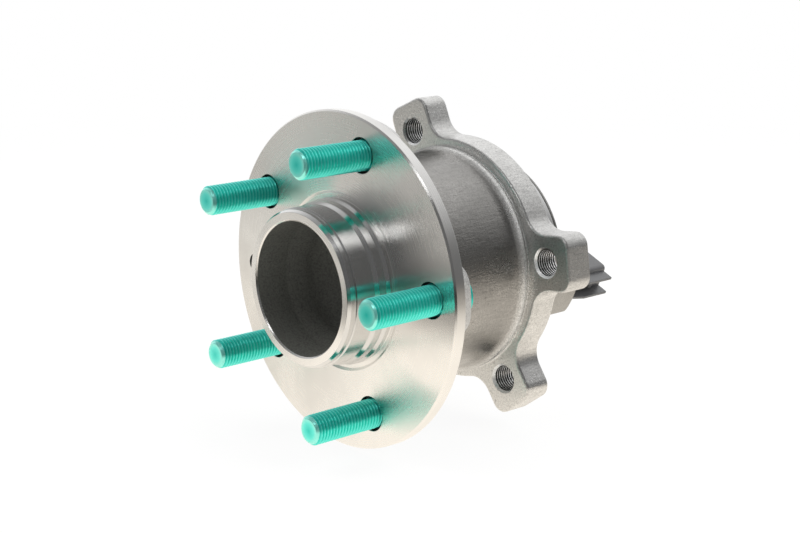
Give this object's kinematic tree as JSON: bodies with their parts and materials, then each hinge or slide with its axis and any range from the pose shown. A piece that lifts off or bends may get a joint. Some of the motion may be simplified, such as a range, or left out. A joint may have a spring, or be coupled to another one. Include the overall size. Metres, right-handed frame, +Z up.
{
  "type": "wheel hub bearing",
  "caption": "Flanged wheel hub bearing with wheel studs, spigot, eared outer ring, two ball rows and a sensor cap with a plug socket.",
  "frame": {"origin": "centre of the face that the brake disc and wheel seat on, on the axis the hub turns about", "axes": "+Y along the hub axis inboard, towards the knuckle; -Y towards the wheel; +Z up in the pictured position; +X to the right seen from the wheel side"},
  "size_m": [0.1366, 0.152, 0.136],
  "materials": {
    "hub_steel": "fine turned, lightly oiled",
    "stud_coat": "glossy blue-green metallic coat over steel",
    "forged_steel": "shot-blasted forging, oiled",
    "race_steel": "ground",
    "ball_steel": "polished bearing steel",
    "cage_polymer": "glass-filled polyamide",
    "sheet_steel": "pressed sheet",
    "seal_rubber": "moulded nitrile",
    "encoder_rubber": "ferrite-filled rubber",
    "cap_steel": "satin zinc plate on pressed steel",
    "connector_plastic": "moulded, fine grain",
    "chip_plastic": "moulded",
    "pin_brass": "bright"
  },
  "bodies": {
    "stationary_unit": {"outer_ring": "forged_steel", "outboard_seal_case": "sheet_steel", "outboard_seal_lip": "seal_rubber", "sensor_cap": "cap_steel", "cap_seal_ring": "seal_rubber", "sensor_housing": "connector_plastic", "sensor_chip": "chip_plastic", "connector_pins": "pin_brass"},
    "rotor": {"wheel_hub": "hub_steel", "wheel_stud_1": "stud_coat", "wheel_stud_2": "stud_coat", "wheel_stud_3": "stud_coat", "wheel_stud_4": "stud_coat", "wheel_stud_5": "stud_coat", "inner_ring": "race_steel", "outboard_flinger": "sheet_steel", "encoder_carrier": "sheet_steel", "encoder_ring": "encoder_rubber"},
    "outboard_ball_set": {"outboard_balls": "ball_steel", "outboard_cage": "cage_polymer"},
    "inboard_ball_set": {"inboard_balls": "ball_steel", "inboard_cage": "cage_polymer"}
  },
  "joints": [
    {"name": "hub_spin", "type": "hinge", "parent": "stationary_unit", "child": "rotor", "pos_m": [0, 0, 0], "axis": [0, 1, 0], "continuous": true},
    {"name": "outboard_cage_spin", "type": "hinge", "parent": "stationary_unit", "child": "outboard_ball_set", "pos_m": [0, 0.028, 0], "axis": [0, 1, 0], "continuous": true},
    {"name": "inboard_cage_spin", "type": "hinge", "parent": "stationary_unit", "child": "inboard_ball_set", "pos_m": [0, 0.062, 0], "axis": [0, 1, 0], "continuous": true}
  ],
  "couplings": [
    {"joint": "outboard_cage_spin", "follows": "hub_spin", "ratio": 0.4161},
    {"joint": "inboard_cage_spin", "follows": "hub_spin", "ratio": 0.4161}
  ]
}
